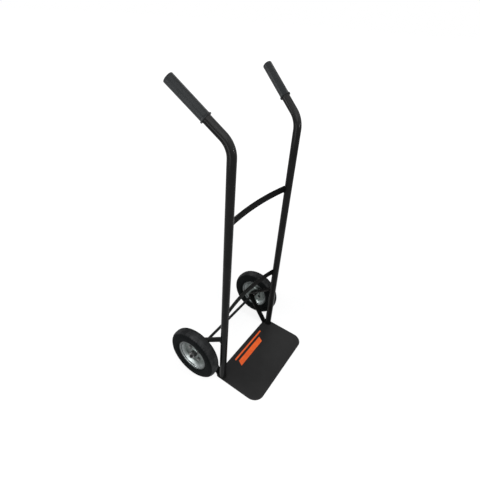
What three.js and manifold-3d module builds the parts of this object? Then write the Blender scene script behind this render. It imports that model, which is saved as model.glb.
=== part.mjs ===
import * as THREE from 'three';
import { mergeVertices } from 'three/addons/utils/BufferGeometryUtils.js';
import Module from 'manifold-3d';

// Two-wheel hand truck, in millimetres.
// X runs across the truck and Z up from the floor.
// Y runs from the toe plate in front (negative) to the wheels behind (positive).
// The two uprights stand in the plane where Y is zero.

// Uprights and handles
const upright_spacing = 328;
const tube_radius = 12.5;
const tube_wall = 1.5;
const straight_height = 852;
const bend_radius = 64;
const bend_turn = THREE.MathUtils.degToRad(51);
const handle_splay = THREE.MathUtils.degToRad(15.5);
const handle_run = 169;

// Rubber grips
const grip_length = 117;
const grip_wall = 1.2;
const grip_end_wall = 3;
const grip_flange_height = 2.5;
const grip_flange_length = 3;
const grip_rounding = 2;

// Toe plate
const plate_front = 165.5;
const plate_side_margin = 1.5;
const plate_rear_margin = 9;
const plate_thickness = 3;
const plate_front_corner = 39.5;
const plate_back_corner = 9;

// Bowed straps across the frame
const strap_height = 24;
const strap_thickness = 3;
const strap_tuck = 0.4;
const strap_end_share = 0.44;
const upper_strap_level = 656;
const upper_strap_bow = 12.9;
const lower_strap_level = 294;
const lower_strap_bow = 17.9;

// Bent flat bars that carry the axle
const bracket_width = 24;
const bracket_thickness = 4;
const bracket_inset = 3;
const bracket_bend_radius = 12;
const arm_rise = 109;
const arm_drop = THREE.MathUtils.degToRad(39);
const foot_inset = 1.9;

// Axle and split pins
const axle_setback = 100.5;
const axle_radius = 5.5;
const axle_tip = 5;
const pin_radius = 1.4;
const pin_reach = 5.5;
const pin_eye_radius = 3.2;
const pin_eye_wire = 1.1;

// Washers on the axle
const washer_band = 6.2;
const washer_thickness = 1.5;

// Wheels
const tyre_radius = 102;
const tyre_width = 45;
const tyre_height = 45;
const tyre_clearance = 4.2;
const tyre_crown_wall = 7;
const tyre_side_wall = 5;
const tyre_squareness = 2.6;
const bead_width = 5;
const lip_clearance = 0.9;

// Pressed rim halves
const rim_sheet = 1.5;
const rim_seat_width = 7;
const rim_flange_height = 5.6;
const rim_flange_inset = 6.5;
const rim_lip_curl = 1.2;
const rim_disc_step = 13;

// Hub tube and its plain bushes
const hub_wall = 3;
const hub_outer_reach = 14;
const bush_wall = 2.9;
const bush_depth = 12;
const bush_flange_height = 2.5;
const bush_flange = 1.5;

// Bolts that hold the two rim halves together
const bolts_per_wheel = 4;
const bolt_radius = 3;
const bolt_head_radius = 5.8;
const bolt_head_height = 4;
const bolt_tail = 3;
const nut_height = 5;

// Space left between neighbouring pieces, and the length by which a cutter overruns
const fit_gap = 0.3;
const cutter_overrun = 2;

// Fineness of the round surfaces
const tube_sides = 24;
const bend_steps = 8;
const grip_sides = 32;
const wheel_sides = 48;
const hub_sides = 24;
const pin_sides = 12;
const hexagon_sides = 6;
const tyre_outer_steps = 14;
const tyre_inner_steps = 8;
const corner_steps = 8;
const strap_steps = 20;
const bracket_bend_steps = 8;

// Sizes that follow from the others
const grip_radius = tube_radius + fit_gap + grip_wall;
const grip_flange_radius = grip_radius + grip_flange_height;
const strap_end_inset = strap_end_share * tube_radius;
const washer_radius = axle_radius + fit_gap + washer_band;
const hub_bore_radius = axle_radius + fit_gap + bush_wall + fit_gap;
const hub_radius = hub_bore_radius + hub_wall;
const bush_flange_radius = hub_bore_radius + bush_flange_height;
const rim_seat_radius = tyre_radius - tyre_height;
const rim_lip_radius = rim_seat_radius + rim_flange_height;
const rim_disc_radius = rim_seat_radius - rim_disc_step;
const rim_lip_reach = tyre_width / 2 - rim_flange_inset;
const bolt_circle_radius = (hub_radius + rim_disc_radius) / 2;
const tyre_middle_radius = (tyre_radius + rim_seat_radius) / 2;

// Places that follow from the sizes
const upright_x = upright_spacing / 2;
const plate_half_width = upright_x + tube_radius + plate_side_margin;
const plate_back = tube_radius + plate_rear_margin;
const strap_half_chord = upright_x - strap_end_inset;
const strap_end_setback = Math.sqrt((tube_radius + fit_gap) ** 2 - strap_end_inset ** 2);
const strap_setback = strap_end_setback + strap_thickness / 2 - strap_tuck;
const foot_setback = plate_back - foot_inset;
const axle_level = tyre_radius;
const arm_level = axle_level + arm_rise;
const wheel_x = plate_half_width + tyre_clearance + tyre_width / 2;
const bracket_outer_x = upright_x - bracket_inset + bracket_width / 2;
const inner_washer_x = bracket_outer_x + fit_gap + washer_thickness / 2;
const inner_flange_x = inner_washer_x + washer_thickness / 2 + fit_gap + bush_flange / 2;
const hub_inner_reach = wheel_x - inner_flange_x - bush_flange / 2 - fit_gap;
const outer_flange_x = wheel_x + hub_outer_reach + fit_gap + bush_flange / 2;
const outer_washer_x = outer_flange_x + bush_flange / 2 + fit_gap + washer_thickness / 2;
const pin_x = outer_washer_x + washer_thickness / 2 + fit_gap + pin_radius;
const axle_half_length = pin_x + axle_tip;
const disc_reach = (fit_gap + rim_sheet) / 2;

const wasm = await Module();
wasm.setup();

// Finishes

function finish(color, roughness, metalness) {
  return () => new THREE.MeshStandardMaterial({ color, roughness, metalness });
}

const black_paint = finish(0x1c1c1e, 0.35, 0.0);
const plate_paint = finish(0x2b2b2d, 0.45, 0.0);
const grip_rubber = finish(0x3b3d3f, 0.7, 0.0);
const tyre_rubber = finish(0x242425, 0.8, 0.0);
const zinc_plate = finish(0xbcc0c2, 0.35, 0.9);
const steel_plain = finish(0x8b8d8f, 0.4, 0.9);
const bush_nylon = finish(0x4b5250, 0.6, 0.0);

// Closed surfaces

function dropCollapsed(index) {
  const kept = [];
  for (let corner = 0; corner < index.length; corner += 3) {
    const [a, b, c] = index.slice(corner, corner + 3);
    if (a !== b && b !== c && c !== a) {
      kept.push(a, b, c);
    }
  }
  return kept;
}

function signedVolume(geometry) {
  const places = geometry.getAttribute('position');
  const corners = [new THREE.Vector3(), new THREE.Vector3(), new THREE.Vector3()];
  let volume = 0;
  for (let item = 0; item < geometry.index.count; item += 3) {
    corners.forEach((corner, turn) => {
      corner.fromBufferAttribute(places, geometry.index.getX(item + turn));
    });
    volume += corners[0].dot(corners[1].clone().cross(corners[2]));
  }
  return volume;
}

// Joins the doubled corners of a surface and turns it to face outwards.
function closed(geometry) {
  geometry.deleteAttribute('normal');
  geometry.deleteAttribute('uv');
  const joined = mergeVertices(geometry);
  joined.setIndex(dropCollapsed(Array.from(joined.index.array)));
  if (signedVolume(joined) < 0) {
    joined.setIndex(Array.from(joined.index.array).reverse());
  }
  return joined;
}

function toManifold(geometry) {
  const surface = closed(geometry);
  return new wasm.Manifold(new wasm.Mesh({
    numProp: 3,
    vertProperties: new Float32Array(surface.getAttribute('position').array),
    triVerts: new Uint32Array(surface.index.array),
  }));
}

function fromManifold(body) {
  const mesh = body.getMesh();
  const geometry = new THREE.BufferGeometry();
  geometry.setAttribute('position', new THREE.BufferAttribute(mesh.vertProperties, mesh.numProp));
  geometry.setIndex(Array.from(mesh.triVerts));
  return geometry;
}

function cut(geometry, cutters) {
  const body = cutters.reduce((left, cutter) => left.subtract(toManifold(cutter)), toManifold(geometry));
  return fromManifold(body);
}

function join(geometries) {
  const bodies = geometries.map(toManifold);
  return fromManifold(bodies.reduce((whole, body) => whole.add(body)));
}

function piece(name, geometry, material) {
  const surface = closed(geometry);
  surface.computeVertexNormals();
  const mesh = new THREE.Mesh(surface, material());
  mesh.name = name;
  return mesh;
}

// Basic forms

// Turns a form drawn around the Y axis so that it lies along X.
function alongX(geometry) {
  return geometry.rotateZ(-Math.PI / 2);
}

function rodAlongX(radius, length, sides) {
  return alongX(new THREE.CylinderGeometry(radius, radius, length, sides));
}

function rodAlongZ(radius, length, sides) {
  return new THREE.CylinderGeometry(radius, radius, length, sides).rotateX(Math.PI / 2);
}

// Ring or tube around X from its section, given as pairs of reach along X and radius.
function turned(section, sides) {
  const profile = section.map(([reach, radius]) => new THREE.Vector2(radius, reach));
  profile.push(profile[0].clone());
  return alongX(new THREE.LatheGeometry(profile, sides));
}

function sleeve(inner_radius, outer_radius, start, end, sides) {
  const section = [
    [start, inner_radius],
    [start, outer_radius],
    [end, outer_radius],
    [end, inner_radius],
  ];
  return turned(section, sides);
}

function arcPoints(center, radius, from_angle, to_angle, steps) {
  const points = [];
  for (let step = 0; step <= steps; step += 1) {
    const angle = from_angle + (to_angle - from_angle) * step / steps;
    points.push(new THREE.Vector2(center.x + radius * Math.cos(angle), center.y + radius * Math.sin(angle)));
  }
  return points;
}

function slab(outline, thickness) {
  const shape = new THREE.Shape(outline);
  return new THREE.ExtrudeGeometry(shape, { depth: thickness, bevelEnabled: false });
}

// Uprights and grips

// Path through a list of stations, each with its place and its direction.
class StationPath extends THREE.Curve {
  constructor(stations) {
    super();
    this.stations = stations;
  }

  stationAt(share) {
    return this.stations[Math.round(share * (this.stations.length - 1))];
  }

  getPointAt(share) {
    return this.stationAt(share).place.clone();
  }

  getTangentAt(share) {
    return this.stationAt(share).direction.clone();
  }
}

// Horizontal direction in which a handle leans away from its upright.
function leanDirection(side) {
  return new THREE.Vector3(side * Math.sin(handle_splay), Math.cos(handle_splay), 0);
}

function bendStation(side, angle) {
  const lean = leanDirection(side);
  const place = lean.clone().multiplyScalar(bend_radius * (1 - Math.cos(angle)));
  place.x += side * upright_x;
  place.z = straight_height + bend_radius * Math.sin(angle);
  const direction = lean.multiplyScalar(Math.sin(angle));
  direction.z = Math.cos(angle);
  return { place, direction };
}

function handleStation(side, distance) {
  const start = bendStation(side, bend_turn);
  const place = start.place.addScaledVector(start.direction, distance);
  return { place, direction: start.direction };
}

function uprightStations(side) {
  const foot = new THREE.Vector3(side * upright_x, 0, plate_thickness + fit_gap);
  const stations = [{ place: foot, direction: new THREE.Vector3(0, 0, 1) }];
  for (let step = 0; step <= bend_steps; step += 1) {
    stations.push(bendStation(side, bend_turn * step / bend_steps));
  }
  stations.push(handleStation(side, handle_run - grip_end_wall - fit_gap));
  return stations;
}

function uprightGeometry(side) {
  const around = { x: 0, y: 0 };
  const full_turn = 2 * Math.PI;
  const outside = arcPoints(around, tube_radius, 0, full_turn, tube_sides).slice(1);
  const inside = arcPoints(around, tube_radius - tube_wall, 0, full_turn, tube_sides).slice(1);
  const section = new THREE.Shape(outside);
  section.holes.push(new THREE.Path(inside));
  const stations = uprightStations(side);
  return new THREE.ExtrudeGeometry(section, {
    extrudePath: new StationPath(stations),
    steps: stations.length - 1,
  });
}

// Cup-shaped sleeve with a flange round its mouth, drawn along Y from the mouth upwards.
function gripGeometry(side) {
  const bore = tube_radius + fit_gap;
  const corner = { x: grip_radius - grip_rounding, y: grip_length - grip_rounding };
  const profile = [
    new THREE.Vector2(0, grip_length - grip_end_wall),
    new THREE.Vector2(bore, grip_length - grip_end_wall),
    new THREE.Vector2(bore, 0),
    new THREE.Vector2(grip_flange_radius, 0),
    new THREE.Vector2(grip_flange_radius, grip_flange_length),
    new THREE.Vector2(grip_radius, grip_flange_length + grip_rounding),
    ...arcPoints(corner, grip_rounding, 0, Math.PI / 2, corner_steps / 2),
    new THREE.Vector2(0, grip_length),
  ];
  const mouth = handleStation(side, handle_run - grip_length);
  const turn = new THREE.Quaternion().setFromUnitVectors(new THREE.Vector3(0, 1, 0), mouth.direction);
  const grip = new THREE.LatheGeometry(profile, grip_sides).applyQuaternion(turn);
  return grip.translate(mouth.place.x, mouth.place.y, mouth.place.z);
}

// Toe plate and cross straps

function toePlateGeometry() {
  const half = plate_half_width;
  const front = plate_front_corner;
  const back = plate_back_corner;
  const quarter = Math.PI / 2;
  const outline = [
    ...arcPoints({ x: half - front, y: front - plate_front }, front, -quarter, 0, corner_steps),
    ...arcPoints({ x: half - back, y: plate_back - back }, back, 0, quarter, corner_steps),
    ...arcPoints({ x: back - half, y: plate_back - back }, back, quarter, 2 * quarter, corner_steps),
    ...arcPoints({ x: front - half, y: front - plate_front }, front, 2 * quarter, 3 * quarter, corner_steps),
  ];
  return slab(outline, plate_thickness);
}

// Flat strap bowed backwards between the uprights, its ends shaped to the tubes.
function strapGeometry(level, bow) {
  const arc_radius = (strap_half_chord ** 2 + bow ** 2) / (2 * bow);
  const center = { x: 0, y: strap_setback + bow - arc_radius };
  const half_angle = Math.asin(strap_half_chord / arc_radius);
  const middle = Math.PI / 2;
  const rear = arc_radius + strap_thickness / 2;
  const front = arc_radius - strap_thickness / 2;
  const outline = [
    ...arcPoints(center, rear, middle - half_angle, middle + half_angle, strap_steps),
    ...arcPoints(center, front, middle + half_angle, middle - half_angle, strap_steps),
  ];
  const strap = slab(outline, strap_height).translate(0, 0, level - strap_height / 2);
  const cutters = [-1, 1].map((side) => {
    const tool = rodAlongZ(tube_radius + fit_gap, strap_height + 2 * cutter_overrun, tube_sides);
    return tool.translate(side * upright_x, 0, level);
  });
  return cut(strap, cutters);
}

// Axle brackets, drawn in the plane of Y and Z

// Angle above the horizontal at which the lower leg rises to pass just in front of the axle.
function legAngle() {
  const run = axle_setback - foot_setback;
  const rise = axle_level - plate_thickness;
  const standoff = axle_radius + fit_gap + bracket_thickness / 2;
  return Math.atan2(rise, run) + Math.asin(standoff / Math.hypot(run, rise));
}

// Point behind the axle line where the middle lines of the arm and the leg meet.
function bracketCorner(leg_angle) {
  const leg_slope = Math.tan(leg_angle);
  const arm_slope = Math.tan(arm_drop);
  const y = (arm_level - plate_thickness + leg_slope * foot_setback) / (leg_slope + arm_slope);
  return new THREE.Vector2(y, arm_level - arm_slope * y);
}

// Moves a point along a direction until one of its coordinates has the given value.
function slideTo(point, direction, coordinate, value) {
  const distance = (value - point[coordinate]) / direction[coordinate];
  return point.clone().addScaledVector(direction, distance);
}

function bracketSide(center, radius, arm_start, leg_start, arm, leg) {
  const bend = arcPoints(center, radius, arm_start, leg_start, bracket_bend_steps);
  const top = slideTo(bend[0], arm, 'x', tube_radius + fit_gap);
  const bottom = slideTo(bend[bend.length - 1], leg, 'y', plate_thickness + fit_gap);
  return [top, ...bend, bottom];
}

function bracketGeometry(side) {
  const leg_angle = legAngle();
  const arm = new THREE.Vector2(-Math.cos(arm_drop), Math.sin(arm_drop));
  const leg = new THREE.Vector2(-Math.cos(leg_angle), -Math.sin(leg_angle));
  const half_opening = (arm_drop + leg_angle) / 2;
  const inward = arm.clone().add(leg).normalize();
  const corner = bracketCorner(leg_angle);
  const center = corner.addScaledVector(inward, bracket_bend_radius / Math.sin(half_opening));
  const quarter = Math.PI / 2;
  const arm_start = quarter - arm_drop;
  const leg_start = leg_angle - quarter;
  const outer_radius = bracket_bend_radius + bracket_thickness / 2;
  const inner_radius = bracket_bend_radius - bracket_thickness / 2;
  const outside = bracketSide(center, outer_radius, arm_start, leg_start, arm, leg);
  const inside = bracketSide(center, inner_radius, arm_start, leg_start, arm, leg);
  const bar = slab([...outside, ...inside.reverse()], bracket_width);
  const axes = new THREE.Matrix4().makeBasis(
    new THREE.Vector3(0, 1, 0),
    new THREE.Vector3(0, 0, 1),
    new THREE.Vector3(1, 0, 0),
  );
  const middle_x = side * (upright_x - bracket_inset);
  return bar.applyMatrix4(axes).translate(middle_x - bracket_width / 2, 0, 0);
}

// Axle, washers and split pins

function onAxle(geometry, x) {
  return geometry.translate(x, axle_setback, axle_level);
}

function axleGeometry() {
  const rod = onAxle(rodAlongX(axle_radius, 2 * axle_half_length, hub_sides), 0);
  const holes = [-1, 1].map((side) => {
    const length = 2 * (axle_radius + cutter_overrun);
    return onAxle(rodAlongZ(pin_radius + fit_gap, length, pin_sides), side * pin_x);
  });
  return cut(rod, holes);
}

function washerGeometry(x) {
  const half = washer_thickness / 2;
  return onAxle(sleeve(axle_radius + fit_gap, washer_radius, -half, half, hub_sides), x);
}

// Split pin through the axle, with a round eye above it.
function splitPinGeometry(x) {
  const half = axle_radius + pin_reach;
  const shank = rodAlongZ(pin_radius, 2 * half, pin_sides);
  const eye = new THREE.TorusGeometry(pin_eye_radius, pin_eye_wire, pin_sides / 2, 2 * pin_sides);
  eye.rotateY(Math.PI / 2).translate(0, 0, half + pin_eye_radius);
  return onAxle(join([shank, eye]), x);
}

// Wheel pieces, drawn around X with the outer side of the wheel towards positive X

function onWheel(geometry, side) {
  const turned_round = side < 0 ? geometry.rotateZ(Math.PI) : geometry;
  return onAxle(turned_round, side * wheel_x);
}

function signedPower(value, power) {
  return Math.sign(value) * Math.abs(value) ** power;
}

// Part of a rounded-square ring section, from the inner side over the crown to the outer side.
function crownPoints(half_width, half_height, end_angle, steps) {
  const power = 2 / tyre_squareness;
  const points = [];
  for (let step = 0; step <= steps; step += 1) {
    const angle = end_angle * (2 * step / steps - 1);
    const reach = half_width * signedPower(Math.sin(angle), power);
    const rise = half_height * signedPower(Math.cos(angle), power);
    points.push([reach, tyre_middle_radius + rise]);
  }
  return points;
}

// Angle from the crown at which the section has come down to a given radius.
function crownAngle(half_height, radius) {
  const rise_share = (radius - tyre_middle_radius) / half_height;
  return Math.acos(signedPower(rise_share, tyre_squareness / 2));
}

// Open-bottomed carcass with a square bead on each side.
function tyreGeometry(side) {
  const half_height = tyre_height / 2;
  const bead_base = rim_seat_radius + fit_gap;
  const bead_outside = rim_lip_reach - rim_sheet - fit_gap;
  const bead_inside = bead_outside - bead_width;
  const shoulder = rim_lip_radius + lip_clearance;
  const shoulder_angle = crownAngle(half_height, shoulder);
  const outer = crownPoints(tyre_width / 2, half_height, shoulder_angle, tyre_outer_steps);
  const hollow_height = half_height - tyre_crown_wall;
  const hollow_end = crownAngle(hollow_height, rim_lip_radius + tyre_side_wall);
  const hollow_half_width = tyre_width / 2 - tyre_side_wall;
  const inner = crownPoints(hollow_half_width, hollow_height, hollow_end, tyre_inner_steps);
  const section = [
    [-bead_inside, bead_base],
    [-bead_outside, bead_base],
    [-bead_outside, shoulder],
    ...outer,
    [bead_outside, shoulder],
    [bead_outside, bead_base],
    [bead_inside, bead_base],
    ...inner.reverse(),
  ];
  return onWheel(turned(section, wheel_sides), side);
}

// Outline of a bent sheet whose middle follows a line of points.
function sheetSection(points, thickness) {
  const first_side = [];
  const second_side = [];
  points.forEach((point, place) => {
    const before = points[Math.max(place - 1, 0)];
    const after = points[Math.min(place + 1, points.length - 1)];
    const arriving = (place > 0 ? point.clone().sub(before) : after.clone().sub(point)).normalize();
    const leaving = (after === point ? arriving.clone() : after.clone().sub(point)).normalize();
    const square = new THREE.Vector2(-arriving.y - leaving.y, arriving.x + leaving.x);
    square.multiplyScalar(thickness / 2 / (1 + arriving.dot(leaving)));
    first_side.push([point.x + square.x, point.y + square.y]);
    second_side.push([point.x - square.x, point.y - square.y]);
  });
  return [...first_side, ...second_side.reverse()];
}

function boltTurns() {
  const step = 2 * Math.PI / bolts_per_wheel;
  return Array.from({ length: bolts_per_wheel }, (_, item) => step / 2 + step * item);
}

function toBoltPlace(geometry, turn) {
  return geometry.translate(0, 0, bolt_circle_radius).rotateX(turn);
}

// Pressed half of the rim, from the hub out to its lip; facing is 1 for the outer half.
function rimHalfGeometry(side, facing) {
  const seat_middle = rim_seat_radius - rim_sheet / 2;
  const flange_middle = rim_lip_reach - rim_sheet / 2;
  const line = [
    new THREE.Vector2(disc_reach, hub_radius + fit_gap),
    new THREE.Vector2(disc_reach, rim_disc_radius),
    new THREE.Vector2(rim_lip_reach - rim_seat_width, seat_middle),
    new THREE.Vector2(flange_middle, seat_middle),
    new THREE.Vector2(flange_middle, rim_lip_radius - rim_lip_curl),
    new THREE.Vector2(flange_middle + rim_lip_curl, rim_lip_radius - rim_lip_curl / 2),
  ];
  const section = sheetSection(line, rim_sheet).map(([reach, radius]) => [facing * reach, radius]);
  const holes = boltTurns().map((turn) => {
    const length = 2 * (disc_reach + rim_sheet + cutter_overrun);
    return toBoltPlace(rodAlongX(bolt_radius + fit_gap, length, pin_sides), turn);
  });
  return onWheel(cut(turned(section, wheel_sides), holes), side);
}

function hubGeometry(side) {
  return onWheel(sleeve(hub_bore_radius, hub_radius, -hub_inner_reach, hub_outer_reach, hub_sides), side);
}

// Flanged bush pressed into one end of the hub; facing is 1 for the outer end.
function bushGeometry(side, facing) {
  const end = facing > 0 ? hub_outer_reach : hub_inner_reach;
  const bore = axle_radius + fit_gap;
  const body = hub_bore_radius - fit_gap;
  const flange_start = end + fit_gap;
  const flange_end = flange_start + bush_flange;
  const section = [
    [end - bush_depth, bore],
    [end - bush_depth, body],
    [flange_start, body],
    [flange_start, bush_flange_radius],
    [flange_end, bush_flange_radius],
    [flange_end, bore],
  ];
  return onWheel(turned(section.map(([reach, radius]) => [facing * reach, radius]), hub_sides), side);
}

// Bolt with its nut, clamping both discs of the rim; the head is on the outer side.
function rimBoltGeometry(side, turn) {
  const face = disc_reach + rim_sheet / 2 + fit_gap;
  const shank_start = -face - nut_height - bolt_tail;
  const shank_end = face + bolt_head_height / 2;
  const shank = rodAlongX(bolt_radius, shank_end - shank_start, pin_sides);
  shank.translate((shank_start + shank_end) / 2, 0, 0);
  const head = rodAlongX(bolt_head_radius, bolt_head_height, hexagon_sides);
  head.translate(face + bolt_head_height / 2, 0, 0);
  const nut = rodAlongX(bolt_head_radius, nut_height, hexagon_sides);
  nut.translate(-face - nut_height / 2, 0, 0);
  return onWheel(toBoltPlace(join([shank, head, nut]), turn), side);
}

// Assembly

function framePieces() {
  return [
    piece('toe_plate', toePlateGeometry(), plate_paint),
    piece('upper_cross_strap', strapGeometry(upper_strap_level, upper_strap_bow), black_paint),
    piece('lower_cross_strap', strapGeometry(lower_strap_level, lower_strap_bow), black_paint),
    piece('axle_rod', axleGeometry(), black_paint),
  ];
}

function sideFramePieces(label, side) {
  return [
    piece(`${label}_upright`, uprightGeometry(side), black_paint),
    piece(`${label}_grip`, gripGeometry(side), grip_rubber),
    piece(`${label}_axle_bracket`, bracketGeometry(side), black_paint),
    piece(`${label}_inner_washer`, washerGeometry(side * inner_washer_x), steel_plain),
    piece(`${label}_outer_washer`, washerGeometry(side * outer_washer_x), steel_plain),
    piece(`${label}_split_pin`, splitPinGeometry(side * pin_x), steel_plain),
  ];
}

function wheelPieces(label, side) {
  const bolts = boltTurns().map((turn, item) => (
    piece(`${label}_rim_bolt_${item + 1}`, rimBoltGeometry(side, turn), zinc_plate)
  ));
  return [
    piece(`${label}_tyre`, tyreGeometry(side), tyre_rubber),
    piece(`${label}_rim_outer_half`, rimHalfGeometry(side, 1), zinc_plate),
    piece(`${label}_rim_inner_half`, rimHalfGeometry(side, -1), zinc_plate),
    piece(`${label}_hub_tube`, hubGeometry(side), zinc_plate),
    piece(`${label}_outer_bush`, bushGeometry(side, 1), bush_nylon),
    piece(`${label}_inner_bush`, bushGeometry(side, -1), bush_nylon),
    ...bolts,
  ];
}

const hand_truck = new THREE.Group();
hand_truck.name = 'hand_truck';
hand_truck.add(...framePieces());
hand_truck.add(...sideFramePieces('left', -1));
hand_truck.add(...sideFramePieces('right', 1));
hand_truck.add(...wheelPieces('left', -1));
hand_truck.add(...wheelPieces('right', 1));

export default hand_truck;
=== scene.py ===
import math

import bmesh
import bpy
from mathutils import Matrix, Vector


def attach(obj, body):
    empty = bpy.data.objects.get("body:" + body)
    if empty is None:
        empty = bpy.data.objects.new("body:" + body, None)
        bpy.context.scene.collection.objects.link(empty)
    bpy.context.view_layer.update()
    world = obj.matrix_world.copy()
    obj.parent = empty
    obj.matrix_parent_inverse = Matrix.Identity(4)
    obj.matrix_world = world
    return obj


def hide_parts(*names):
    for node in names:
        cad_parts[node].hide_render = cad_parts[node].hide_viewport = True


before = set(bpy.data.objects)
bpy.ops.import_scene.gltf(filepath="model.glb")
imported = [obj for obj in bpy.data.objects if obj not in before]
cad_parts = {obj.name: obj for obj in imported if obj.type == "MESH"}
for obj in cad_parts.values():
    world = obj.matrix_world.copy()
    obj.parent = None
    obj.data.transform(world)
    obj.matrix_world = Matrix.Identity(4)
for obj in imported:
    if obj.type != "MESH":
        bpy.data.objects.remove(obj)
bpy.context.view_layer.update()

# Frame sizes, in metres
UPRIGHT_X = 0.164
TUBE_RADIUS = 0.0125
STRAIGHT_HEIGHT = 0.852
BEND_RADIUS = 0.064
BEND_TURN = math.radians(51)
HANDLE_SPLAY = math.radians(15.5)
HANDLE_RUN = 0.169
TUBE_END_SETBACK = 0.0035
PLATE_HALF_WIDTH = 0.178
PLATE_FRONT = 0.1655
PLATE_BACK = 0.0215
PLATE_THICKNESS = 0.003
PLATE_FRONT_CORNER = 0.0395
PLATE_BACK_CORNER = 0.009
# Left end, right end, middle and half height of each stripe on the plate
STRIPES = ((-0.080, 0.104, 0.0015, 0.0032), (-0.080, 0.068, -0.022, 0.0105))

# Grip sizes, in metres
GRIP_LENGTH = 0.117
GRIP_RADIUS = 0.014
GRIP_FLANGE_RADIUS = 0.0165

# Strap sizes, in metres
STRAP_HALF_CHORD = 0.1585
STRAP_SETBACK = 0.01266
STRAP_HEIGHT = 0.024
STRAP_THICKNESS = 0.003
# Name, level and bow of each strap
STRAPS = (("upper", 0.656, 0.0129), ("lower", 0.294, 0.0179))

# Bracket sizes, in metres
BRACKET_X = 0.161
BRACKET_WIDTH = 0.024
BRACKET_THICKNESS = 0.004
BRACKET_BEND_RADIUS = 0.012
ARM_LEVEL = 0.211
ARM_DROP = math.radians(39)
FOOT_SETBACK = 0.0196

# Weld sizes, in metres
BEAD_HALF_LENGTH = 0.0105
STRAP_BEAD_HALF_LENGTH = 0.0112
FOOT_BEAD_PLACES = (0.0168, 0.0228)
ARM_BEAD_LEVELS = (0.2040, 0.1972)
# Distance inwards from the upright's middle line, and backwards from it
STRAP_BEAD_PLACES = ((0.0044, 0.0130), (0.0080, 0.0104))
AXLE_BEAD_SHIFT = 0.0046

# Axle and wheel sizes, in metres; the fit gap is the room that is left where one piece goes on another
FIT_GAP = 0.0003
AXLE = Vector((0, 0.1005, 0.102))
AXLE_RADIUS = 0.0055
AXLE_HALF_LENGTH = 0.229
PIN_X = 0.224
PIN_WIRE_RADIUS = 0.0007
INNER_WASHER_X = 0.17405
OUTER_WASHER_X = 0.22155
WASHER_RADIUS = 0.012
WASHER_THICKNESS = 0.0015
WHEEL_X = 0.2047
TYRE_RADIUS = 0.102
TYRE_WIDTH = 0.045
TYRE_MIDDLE_RADIUS = 0.0795
TYRE_SQUARENESS = 2.6
TYRE_SHOULDER_RADIUS = 0.0635
TREAD_GROOVES = (-0.0085, 0.0, 0.0085)
# Distance of each ring above the middle line of the tyre's side, its half width and its lift
SIDE_RINGS = ((-0.0085, 0.0012, 0.0005), (0.0035, 0.0008, 0.0004), (0.0118, 0.0011, 0.0006))
RIM_SHEET = 0.0015
RIM_SEAT_RADIUS = 0.057
HUB_RADIUS = 0.012
HUB_BORE_RADIUS = 0.009
HUB_OUTER_REACH = 0.014
HUB_INNER_REACH = 0.0278
BOLT_COUNT = 4
BOLT_CIRCLE_RADIUS = 0.028
BOLT_RADIUS = 0.003
BOLT_HEAD_RADIUS = 0.0058

SIDES = (("left", -1), ("right", 1))


# Node helpers

def put(tree, kind, inputs=None, **settings):
    """Adds a node, sets its options and fills its inputs with values or with other nodes' outputs."""
    node = tree.nodes.new(kind)
    for key, value in settings.items():
        setattr(node, key, value)
    for key, value in (inputs or {}).items():
        if isinstance(value, bpy.types.NodeSocket):
            tree.links.new(value, node.inputs[key])
        else:
            node.inputs[key].default_value = value
    return node


def calc(tree, operation, first, second=0.0):
    """Result of one sum on two values."""
    return put(tree, "ShaderNodeMath", {0: first, 1: second}, operation=operation).outputs[0]


def spread(tree, value, low, high, to_low=0.0, to_high=1.0):
    """Maps a value smoothly from one range to another."""
    inputs = {0: value, 1: low, 2: high, 3: to_low, 4: to_high}
    return put(tree, "ShaderNodeMapRange", inputs, interpolation_type="SMOOTHSTEP").outputs[0]


def grain(tree, place, scale, detail=2.0, roughness=0.5):
    """Noise of a given fineness."""
    inputs = {"Vector": place, "Scale": scale, "Detail": detail, "Roughness": roughness}
    return put(tree, "ShaderNodeTexNoise", inputs).outputs["Fac"]


def blend_colors(tree, share, first, second):
    """Mix of two colours by a share."""
    color_a, color_b = 6, 7
    inputs = {0: share, color_a: first, color_b: second}
    return put(tree, "ShaderNodeMix", inputs, data_type="RGBA").outputs[2]


def relief(tree, height, depth, strength, under):
    """Bump normal from a height pattern, on top of the one under it if there is one."""
    inputs = {"Height": height, "Distance": depth, "Strength": strength}
    if under is not None:
        inputs["Normal"] = under
    return put(tree, "ShaderNodeBump", inputs).outputs[0]


def grey(value, warm=0.0):
    """Opaque colour, a little towards red where warm is above zero."""
    return (value * (1 + warm), value, value * (1 - warm), 1.0)


def tint(tree, color, pattern, share, toward):
    """Colour moved towards another one by a share of a pattern."""
    return blend_colors(tree, calc(tree, "MULTIPLY", pattern, share), color, toward)


def axes_of(tree, vector):
    """X, Y and Z of a vector."""
    return put(tree, "ShaderNodeSeparateXYZ", {0: vector}).outputs


def diagonal(tree, first, second):
    """Distance that two lengths at right angles add up to."""
    squares = [calc(tree, "MULTIPLY", length, length) for length in (first, second)]
    return calc(tree, "SQRT", calc(tree, "ADD", squares[0], squares[1]))


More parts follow.
